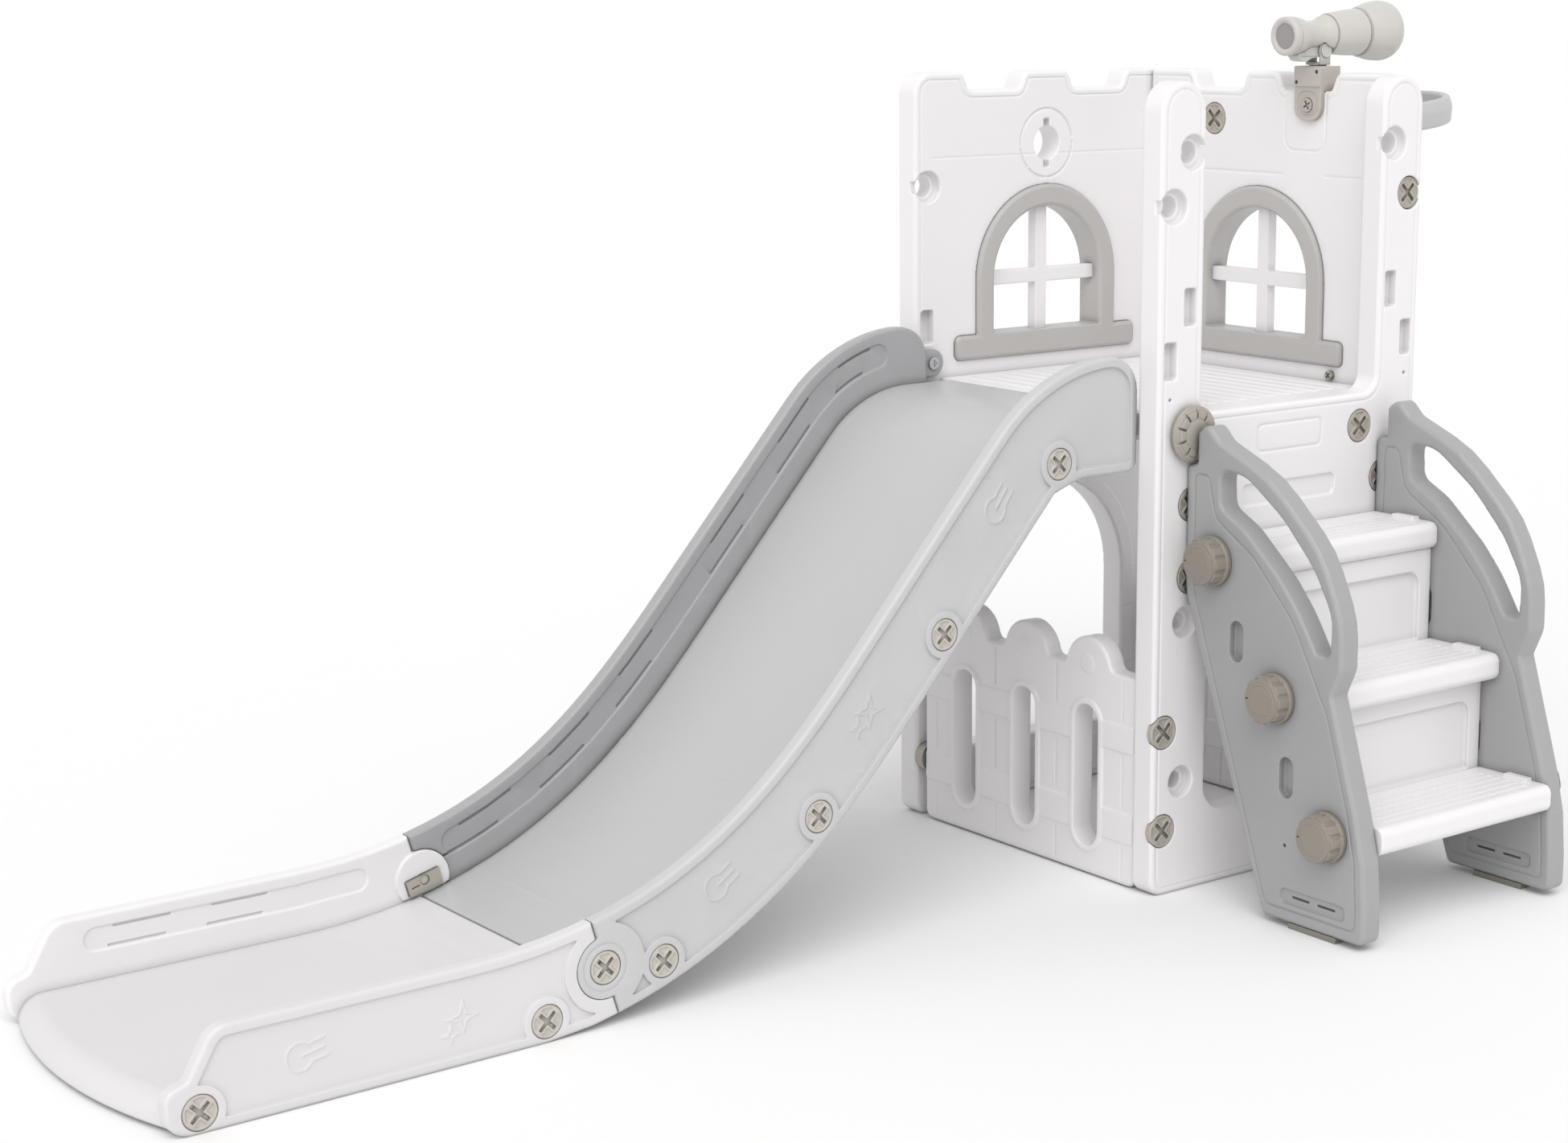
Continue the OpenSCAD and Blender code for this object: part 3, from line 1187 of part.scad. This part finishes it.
module hoop_screws() color(steel)
    for (y = hoop_screw_y) back_x(tower_w + 8, y, hoop_screw_z) {
        difference() {
            cylinder(r = 8, h = 3);
            for (a = [0, 90]) rotate([0, 0, a]) translate([-5, -1, 1.2]) cube([10, 2, 3]);
        }
        translate([0, 0, -30]) cylinder(r = 4.9, h = 30);
    }

place() stair_wall();
place() window_wall();
place() telescope_wall();
place() front_fence();
place() rear_fence();
place() platform_deck();
place() far_window_frame();
place() rear_window_frame();
place() slide_upper_bed();
place() slide_upper_rail_near();
place() slide_upper_rail_far();
place() slide_lower_bed();
place() slide_lower_rail_near();
place() slide_lower_rail_far();
place() slide_upper_screws();
place() slide_lower_screws();
place() knuckle_screws();
place() knuckle_nuts();
place() tab_screws();
place() stair_plate_left();
place() stair_plate_right();
place() stair_tread_top();
place() stair_tread_middle();
place() stair_tread_bottom();
place() stair_riser_top();
place() stair_riser_middle();
place() stair_bolts();
place() stair_feet();
place() stair_screws();
place() stair_knob_left_top();
place() stair_knob_left_middle();
place() stair_knob_left_bottom();
place() stair_knob_right_top();
place() stair_knob_right_middle();
place() stair_knob_right_bottom();
place() dial();
place() dial_spindle();
place() post_screws();
place() fence_collars();
place() deck_bolts();
place() telescope_bracket();
place() bracket_screw();
place() swivel_fork();
place() tilt_pin();
place() telescope_saddle();
place() telescope_eye_tube();
place() telescope_front_tube();
place() telescope_bell();
place() eyepiece_ring();
place() eyepiece_lens();
place() front_lens();
place() hoop_ring();
place() hoop_bracket();
place() hoop_screws();
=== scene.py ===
"""Looks of a toddler slide with a castle play tower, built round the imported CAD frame. Metres, +Z up."""

import json
import math

import bmesh
import bpy
from mathutils import Matrix, Vector


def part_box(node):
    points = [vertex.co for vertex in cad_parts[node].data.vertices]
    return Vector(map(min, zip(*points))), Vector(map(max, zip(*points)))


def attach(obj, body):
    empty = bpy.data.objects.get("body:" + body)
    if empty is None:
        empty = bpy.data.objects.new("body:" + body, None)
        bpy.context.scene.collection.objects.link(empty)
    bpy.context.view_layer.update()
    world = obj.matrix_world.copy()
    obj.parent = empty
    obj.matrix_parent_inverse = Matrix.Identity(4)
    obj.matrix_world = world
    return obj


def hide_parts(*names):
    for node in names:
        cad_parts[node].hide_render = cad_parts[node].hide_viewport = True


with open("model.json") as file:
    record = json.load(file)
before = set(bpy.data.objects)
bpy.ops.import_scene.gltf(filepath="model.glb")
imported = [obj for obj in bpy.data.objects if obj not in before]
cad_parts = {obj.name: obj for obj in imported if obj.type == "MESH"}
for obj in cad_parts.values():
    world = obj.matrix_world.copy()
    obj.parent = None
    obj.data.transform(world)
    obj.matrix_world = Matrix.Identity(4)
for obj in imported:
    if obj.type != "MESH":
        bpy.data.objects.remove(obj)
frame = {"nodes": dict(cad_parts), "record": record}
nodes = frame["nodes"]
body_of = {n: b for b, members in frame["record"]["behaviour"]["bodies"].items() for n in members}
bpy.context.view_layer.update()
COARSER = 1.0
MM = 0.001
TOWER = Vector(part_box("stair_wall")[0])  # the tower's corner: x on the slide side, y on the stair side


# ---- camera and light -------------------------------------------------------------------------

IMAGE_W, IMAGE_H = 1950, 1421
FOCAL_PX = 3501.85
CENTRE_PX = (1161.0, 767.7)
CAMERA_FROM_TOWER = Vector((-2.53806, -2.69085, 1.20290))
CAMERA_YAW, CAMERA_PITCH, CAMERA_ROLL = -38.727, -12.368, -0.04


def make_camera():
    data = bpy.data.cameras.new("camera")
    data.sensor_fit = "HORIZONTAL"
    data.sensor_width = 36.0
    data.lens = FOCAL_PX / IMAGE_W * data.sensor_width
    data.shift_x = (IMAGE_W / 2 - CENTRE_PX[0]) / IMAGE_W
    data.shift_y = (CENTRE_PX[1] - IMAGE_H / 2) / IMAGE_W
    data.clip_start, data.clip_end = 0.05, 200
    cam = bpy.data.objects.new("camera", data)
    bpy.context.scene.collection.objects.link(cam)
    yaw, pitch, roll = (math.radians(v) for v in (CAMERA_YAW, CAMERA_PITCH, CAMERA_ROLL))
    turn = Matrix.Rotation(yaw, 4, "Z") @ Matrix.Rotation(math.pi / 2 + pitch, 4, "X") @ Matrix.Rotation(roll, 4, "Z")
    cam.matrix_world = Matrix.Translation(TOWER + CAMERA_FROM_TOWER) @ turn
    bpy.context.scene.camera = cam


SKY_SEEN, SKY_LIGHT = 1.0, 0.70          # strength of the sky as seen or mirrored, and as a light
SKY_TINT = (1.0, 0.995, 0.995, 1)
SUN_ANGLE = 50                           # degrees; broad lamps cast faint shadows
FLOOR_HALF = 60.0


def soft_sun(name, towards, strength, colour):
    """A very broad distant lamp: its light is even over the whole floor and its shadows are faint."""
    data = bpy.data.lights.new(name, "SUN")
    data.energy, data.angle, data.color = strength, math.radians(SUN_ANGLE), colour
    lamp = bpy.data.objects.new(name, data)
    bpy.context.scene.collection.objects.link(lamp)
    lamp.rotation_mode = "QUATERNION"
    lamp.rotation_quaternion = (-Vector(towards)).to_track_quat("-Z", "Y")


def make_studio():
    scene = bpy.context.scene
    scene.view_settings.view_transform = "Standard"
    world = bpy.data.worlds.new("studio")
    scene.world = world
    world.use_nodes = True
    tree = world.node_tree
    tree.nodes.clear()
    out = tree.nodes.new("ShaderNodeOutputWorld")
    mix = tree.nodes.new("ShaderNodeMixShader")
    seen = tree.nodes.new("ShaderNodeBackground")
    soft = tree.nodes.new("ShaderNodeBackground")
    path = tree.nodes.new("ShaderNodeLightPath")
    seen.inputs["Color"].default_value = (1, 1, 1, 1)
    seen.inputs["Strength"].default_value = SKY_SEEN
    soft.inputs["Color"].default_value = SKY_TINT
    soft.inputs["Strength"].default_value = SKY_LIGHT
    either = path.outputs["Is Camera Ray"]
    for ray in ("Is Glossy Ray", "Is Transmission Ray"):
        larger = tree.nodes.new("ShaderNodeMath")
        larger.operation = "MAXIMUM"
        tree.links.new(either, larger.inputs[0])
        tree.links.new(path.outputs[ray], larger.inputs[1])
        either = larger.outputs[0]
    tree.links.new(either, mix.inputs[0])
    tree.links.new(soft.outputs[0], mix.inputs[1])
    tree.links.new(seen.outputs[0], mix.inputs[2])
    tree.links.new(mix.outputs[0], out.inputs[0])
    soft_sun("key", (-0.34, -0.52, 0.79), 1.40, (1.0, 0.994, 0.988))
    soft_sun("fill", (-0.93, -0.30, 0.22), 0.42, (1.0, 0.985, 0.965))

    floor = bpy.data.meshes.new("floor")
    r = FLOOR_HALF
    floor.from_pydata([(-r, -r, 0), (r, -r, 0), (r, r, 0), (-r, r, 0)], [], [(0, 1, 2, 3)])
    obj = bpy.data.objects.new("floor", floor)
    scene.collection.objects.link(obj)
    mat = bpy.data.materials.new("floor")
    mat.use_nodes = True
    bsdf = mat.node_tree.nodes["Principled BSDF"]
    bsdf.inputs["Base Color"].default_value = (0.93, 0.93, 0.93, 1)
    bsdf.inputs["Roughness"].default_value = 0.9
    bsdf.inputs["Specular IOR Level"].default_value = 0.1
    floor.materials.append(mat)


# ---- materials --------------------------------------------------------------------------------

class Shader:
    """A material under construction: adds nodes, and sets or links their inputs."""

    def __init__(self, name):
        self.mat = bpy.data.materials.new(name)
        self.mat.use_nodes = True
        self.tree = self.mat.node_tree
        self.bsdf = self.tree.nodes["Principled BSDF"]

    def node(self, kind, inputs=None, **settings):
        n = self.tree.nodes.new(kind)
        for k, v in settings.items():
            setattr(n, k, v)
        for k, v in (inputs or {}).items():
            self.put(n.inputs[k], v)
        return n

    def put(self, socket, v):
        if isinstance(v, bpy.types.NodeSocket):
            self.tree.links.new(v, socket)
        else:
            socket.default_value = v

    def noise(self, coords, scale, detail=3.0, rough=0.5, distortion=0.0):
        n = self.node("ShaderNodeTexNoise", {"Vector": coords, "Scale": scale, "Detail": detail,
                                             "Roughness": rough, "Distortion": distortion})
        return n.outputs["Fac"]

    def spread(self, value, low, high, to_low=0.0, to_high=1.0):
        n = self.node("ShaderNodeMapRange", {"Value": value, "From Min": low, "From Max": high,
                                             "To Min": to_low, "To Max": to_high})
        n.clamp = True
        return n.outputs["Result"]

    def tint(self, fac, a, b):
        n = self.node("ShaderNodeMix", data_type="RGBA")
        self.put(n.inputs[0], fac)
        self.put(n.inputs[6], a)
        self.put(n.inputs[7], b)
        return n.outputs[2]

    def maths(self, op, a, b):
        n = self.node("ShaderNodeMath", operation=op)
        self.put(n.inputs[0], a)
        self.put(n.inputs[1], b)
        return n.outputs[0]


def linear(rgb):
    return tuple((c / 255 / 12.92 if c / 255 <= 0.04045 else ((c / 255 + 0.055) / 1.055) ** 2.4) for c in rgb)


def shade(rgb, k):
    return tuple(min(1.0, c * k) for c in rgb) + (1.0,)


CREASE_REACH = 0.014     # how far off other surfaces the painted crease shade reaches, in metres
BUMP_DEPTH = 0.0016


def plastic(name, rgb, rough=0.42, grain=0.1, mottle=0.03, glow=0.06, painted_crease_shade=0.55):
    """Moulded plastic: faint cloudiness, orange-peel grain, handling marks and painted shade in its creases."""
    s = Shader(name)
    base = linear(rgb)
    coords = s.node("ShaderNodeTexCoord").outputs["Object"]
    cloud = s.noise(coords, 5.0, 4.0, 0.55)
    speck = s.noise(coords, 260.0, 2.0, 0.6)
    colour = s.tint(s.spread(cloud, 0.3, 0.7), shade(base, 1 - mottle), shade(base, 1 + mottle * 0.6))
    colour = s.tint(s.spread(speck, 0.62, 0.8, 0, 0.25), colour, shade(base, 1 - 2 * mottle))
    # painted shade: ambient occlusion darkens the colour in creases, recesses and between parts
    open_to_light = s.node("ShaderNodeAmbientOcclusion", {"Distance": CREASE_REACH}, samples=4).outputs["AO"]
    colour = s.tint(s.spread(open_to_light, 0.35, 0.95), shade(base, painted_crease_shade), colour)
    s.put(s.bsdf.inputs["Base Color"], colour)
    rub = s.noise(coords, 14.0, 5.0, 0.65, 0.4)
    scuff = s.node("ShaderNodeMapping", {"Vector": coords, "Scale": (40, 40, 420), "Rotation": (0.3, 0.5, 0.2)})
    marks = s.noise(scuff.outputs[0], 1.0, 2.0, 0.5)
    r = s.spread(rub, 0.3, 0.75, rough - 0.06, rough + 0.07)
    r = s.maths("ADD", r, s.spread(marks, 0.64, 0.78, 0.0, 0.07))
    s.put(s.bsdf.inputs["Roughness"], r)
    peel = s.noise(coords, 420.0, 2.0, 0.5)
    wave = s.noise(coords, 42.0, 2.0, 0.5)
    height = s.maths("ADD", s.maths("MULTIPLY", peel, 0.35), wave)
    bump = s.node("ShaderNodeBump", {"Strength": grain, "Distance": BUMP_DEPTH, "Height": height})
    s.put(s.bsdf.inputs["Normal"], bump.outputs[0])
    s.bsdf.inputs["Specular IOR Level"].default_value = 0.42
    s.bsdf.inputs["Subsurface Weight"].default_value = glow
    s.bsdf.inputs["Subsurface Radius"].default_value = (1.0, 0.9, 0.85)
    s.bsdf.inputs["Subsurface Scale"].default_value = 0.006
    return s.mat


def metal(name, rgb, rough=0.3):
    s = Shader(name)
    base = linear(rgb)
    coords = s.node("ShaderNodeTexCoord").outputs["Object"]
    brushed = s.node("ShaderNodeMapping", {"Vector": coords, "Scale": (900, 900, 90)})
    lines = s.noise(brushed.outputs[0], 1.0, 3.0, 0.6)
    s.put(s.bsdf.inputs["Base Color"], s.tint(s.spread(lines, 0.3, 0.7), shade(base, 0.9), shade(base, 1.05)))
    s.put(s.bsdf.inputs["Roughness"], s.spread(s.noise(coords, 60.0, 3.0), 0.3, 0.7, rough - 0.06, rough + 0.1))
    bump = s.node("ShaderNodeBump", {"Strength": 0.08, "Distance": 0.0005, "Height": lines})
    s.put(s.bsdf.inputs["Normal"], bump.outputs[0])
    s.bsdf.inputs["Metallic"].default_value = 1.0
    return s.mat


def glass(name, rgb):
    s = Shader(name)
    base = linear(rgb)
    coords = s.node("ShaderNodeTexCoord").outputs["Object"]
    s.put(s.bsdf.inputs["Base Color"], s.tint(s.spread(s.noise(coords, 30.0, 2.0), 0.3, 0.7), shade(base, 0.94),
                                              shade(base, 1.04)))
    s.put(s.bsdf.inputs["Roughness"], s.spread(s.noise(coords, 90.0, 2.0), 0.3, 0.7, 0.05, 0.1))
    s.bsdf.inputs["Specular IOR Level"].default_value = 0.6
    s.bsdf.inputs["Coat Weight"].default_value = 0.6
    s.bsdf.inputs["Coat Roughness"].default_value = 0.04
    return s.mat


# ---- mouldings --------------------------------------------------------------------------------

def finished_mesh(obj):
    """Applies obj's modifiers and gives the new mesh."""
    dg = bpy.context.evaluated_depsgraph_get()
    mesh = bpy.data.meshes.new_from_object(obj.evaluated_get(dg))
    obj.modifiers.clear()
    old = obj.data
    obj.data = mesh
    bpy.data.meshes.remove(old)
    return mesh


def moulding(node, mat, voxel, soften, keep):
    """The node's form as one soft-edged moulding.

    It is remeshed on a grid of voxel mm, its edges are eased by soften rounds, and the share keep of its faces stays.
    """
    bm = bmesh.new()
    bm.from_mesh(nodes[node].data)
    bmesh.ops.remove_doubles(bm, verts=bm.verts, dist=1e-6)
    mesh = bpy.data.meshes.new(node + "_moulding")
    bm.to_mesh(mesh)
    bm.free()
    obj = bpy.data.objects.new(node + "_moulding", mesh)
    bpy.context.scene.collection.objects.link(obj)
    grid = obj.modifiers.new("grid", "REMESH")
    grid.mode, grid.voxel_size, grid.adaptivity = "VOXEL", voxel * MM * COARSER, 0.0
    ease = obj.modifiers.new("ease", "SMOOTH")
    ease.factor, ease.iterations = 0.5, max(1, round(soften / COARSER))
    thin = obj.modifiers.new("thin", "DECIMATE")
    thin.decimate_type, thin.ratio = "COLLAPSE", keep * COARSER
    mesh = finished_mesh(obj)
    mesh.name = node + "_moulding"
    mesh.shade_smooth()
    mesh.materials.clear()
    mesh.materials.append(mat)
    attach(obj, body_of[node])
    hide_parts(node)


def keep_node(node, mat):
    """A node whose CAD form stays, with its own material."""
    nodes[node].data.materials.clear()
    nodes[node].data.materials.append(mat)


make_camera()
make_studio()

# Arguments: name, colour, roughness, grain, mottle, glow and the brightness of the painted crease shade.
WHITE_PAINTED_CREASE_SHADE = 0.76   # the painted crease shade of the white mouldings stays paler than that of the grey ones
WHITE = plastic("white_plastic", (236, 234, 235), 0.38, 0.10, 0.012, 0.05, WHITE_PAINTED_CREASE_SHADE)
# painted shade: a darker, shaded copy of the white for the slide's run-out bed and near lower rail
SHADED_RUN_WHITE = plastic("shaded_slide_white_plastic", (219, 217, 218), 0.36, 0.10, 0.012, 0.08, WHITE_PAINTED_CREASE_SHADE)
BED = plastic("bed_grey", (190, 190, 191), 0.34, 0.08, 0.015)
RAIL = plastic("rail_grey", (198, 198, 199), 0.36, 0.10, 0.015)
# painted shade: a darker copy of the rail grey for the far rail, whose inner face lies in shade
SHADED_FAR_RAIL = plastic("shaded_far_rail_grey", (167, 167, 169), 0.36, 0.10, 0.015)
PLATE = plastic("plate_grey", (164, 164, 165), 0.34, 0.10, 0.02)
TRIM = plastic("trim_grey", (184, 182, 180), 0.42, 0.10, 0.02)
HOOP = plastic("hoop_grey", (189, 190, 190), 0.42, 0.10, 0.02)
SCOPE = plastic("scope_grey", (200, 197, 192), 0.19, 0.05, 0.015)
BRACKET = plastic("bracket_grey", (186, 181, 173), 0.36, 0.10, 0.02)
TAUPE = plastic("taupe_plastic", (147, 140, 131), 0.34, 0.12, 0.03)
DIAL = plastic("dial_plastic", (172, 167, 158), 0.38, 0.12, 0.03)
# painted shade: the screws get a strong painted crease shade
SCREW = plastic("screw_plastic", (178, 173, 163), 0.38, 0.12, 0.03, painted_crease_shade=0.3)
PALE_SCREW = plastic("pale_screw_plastic", (196, 192, 183), 0.40, 0.12, 0.03)
RUBBER = plastic("foot_rubber", (150, 146, 138), 0.62, 0.2, 0.04, 0.0)
# painted shadow: near-black colour for the dial spindle, standing for the shade in the recess behind the dial
SHADOW_DARK = plastic("dark_plastic", (60, 60, 62), 0.45, 0.12, 0.04, 0.0)
STEEL = metal("steel", (190, 192, 196))
LENS = glass("lens", (146, 142, 144))

KNOBS = [f"stair_knob_{side}_{k}" for side in ("left", "right") for k in ("top", "middle", "bottom")]
SCOPE_TUBES = ["telescope_eye_tube", "telescope_front_tube", "telescope_bell", "eyepiece_ring"]

# Material, slot, voxel in mm, rounds of easing, share of the faces kept, and the nodes they are for.
for mat, slot, voxel, soften, keep, names in [
    (WHITE, "white_plastic", 1.3, 3, 0.10, ["stair_wall", "window_wall", "telescope_wall"]),
    (WHITE, "white_plastic", 1.25, 3, 0.12, ["front_fence", "rear_fence"]),
    (WHITE, "white_plastic", 1.6, 2, 0.12, ["platform_deck"]),
    (TRIM, "trim_grey", 1.0, 4, 0.12, ["far_window_frame", "rear_window_frame"]),
    (BED, "bed_grey", 2.2, 3, 0.10, ["slide_upper_bed"]),
    (SHADED_RUN_WHITE, "white_plastic", 1.6, 3, 0.12, ["slide_lower_bed"]),
    (RAIL, "rail_grey", 1.05, 3, 0.12, ["slide_upper_rail_near"]),
    # painted shade: the far rail takes the darker, shaded copy of the rail grey
    (SHADED_FAR_RAIL, "rail_grey", 1.05, 3, 0.12, ["slide_upper_rail_far"]),
    (SHADED_RUN_WHITE, "white_plastic", 1.05, 3, 0.12, ["slide_lower_rail_near"]),
    (WHITE, "white_plastic", 1.05, 3, 0.12, ["slide_lower_rail_far"]),
    (PLATE, "plate_grey", 1.1, 3, 0.12, ["stair_plate_left", "stair_plate_right"]),
    (WHITE, "white_plastic", 1.0, 2, 0.12, ["stair_tread_top", "stair_tread_middle", "stair_tread_bottom"]),
    (WHITE, "white_plastic", 1.4, 3, 0.12, ["stair_riser_top", "stair_riser_middle"]),
    (TAUPE, "taupe_plastic", 0.7, 3, 0.25, KNOBS),
    (DIAL, "taupe_plastic", 0.7, 3, 0.25, ["dial"]),
    (SCREW, "taupe_plastic", 0.8, 2, 0.25, ["post_screws", "stair_screws"]),
    (PALE_SCREW, "taupe_plastic", 0.8, 2, 0.25, ["slide_upper_screws", "slide_lower_screws", "knuckle_screws"]),
    (SCOPE, "scope_grey", 0.8, 3, 0.25, SCOPE_TUBES),
    (SCOPE, "scope_grey", 0.6, 3, 0.25, ["telescope_saddle", "swivel_fork", "tilt_pin"]),
    (BRACKET, "scope_grey", 0.7, 3, 0.25, ["telescope_bracket"]),
    (HOOP, "trim_grey", 1.2, 3, 0.2, ["hoop_ring", "hoop_bracket"]),
]:
    for name in names:
        moulding(name, mat, voxel, soften, keep)

for mat, names in [
    (SCREW, ["knuckle_nuts", "fence_collars", "deck_bolts", "bracket_screw"]),
    (STEEL, ["tab_screws", "stair_bolts", "hoop_screws"]),
    (RUBBER, ["stair_feet"]),
    # painted shadow: the dial spindle is near-black for the shade behind the dial
    (SHADOW_DARK, ["dial_spindle"]),
    (LENS, ["eyepiece_lens", "front_lens"]),
]:
    for name in names:
        keep_node(name, mat)
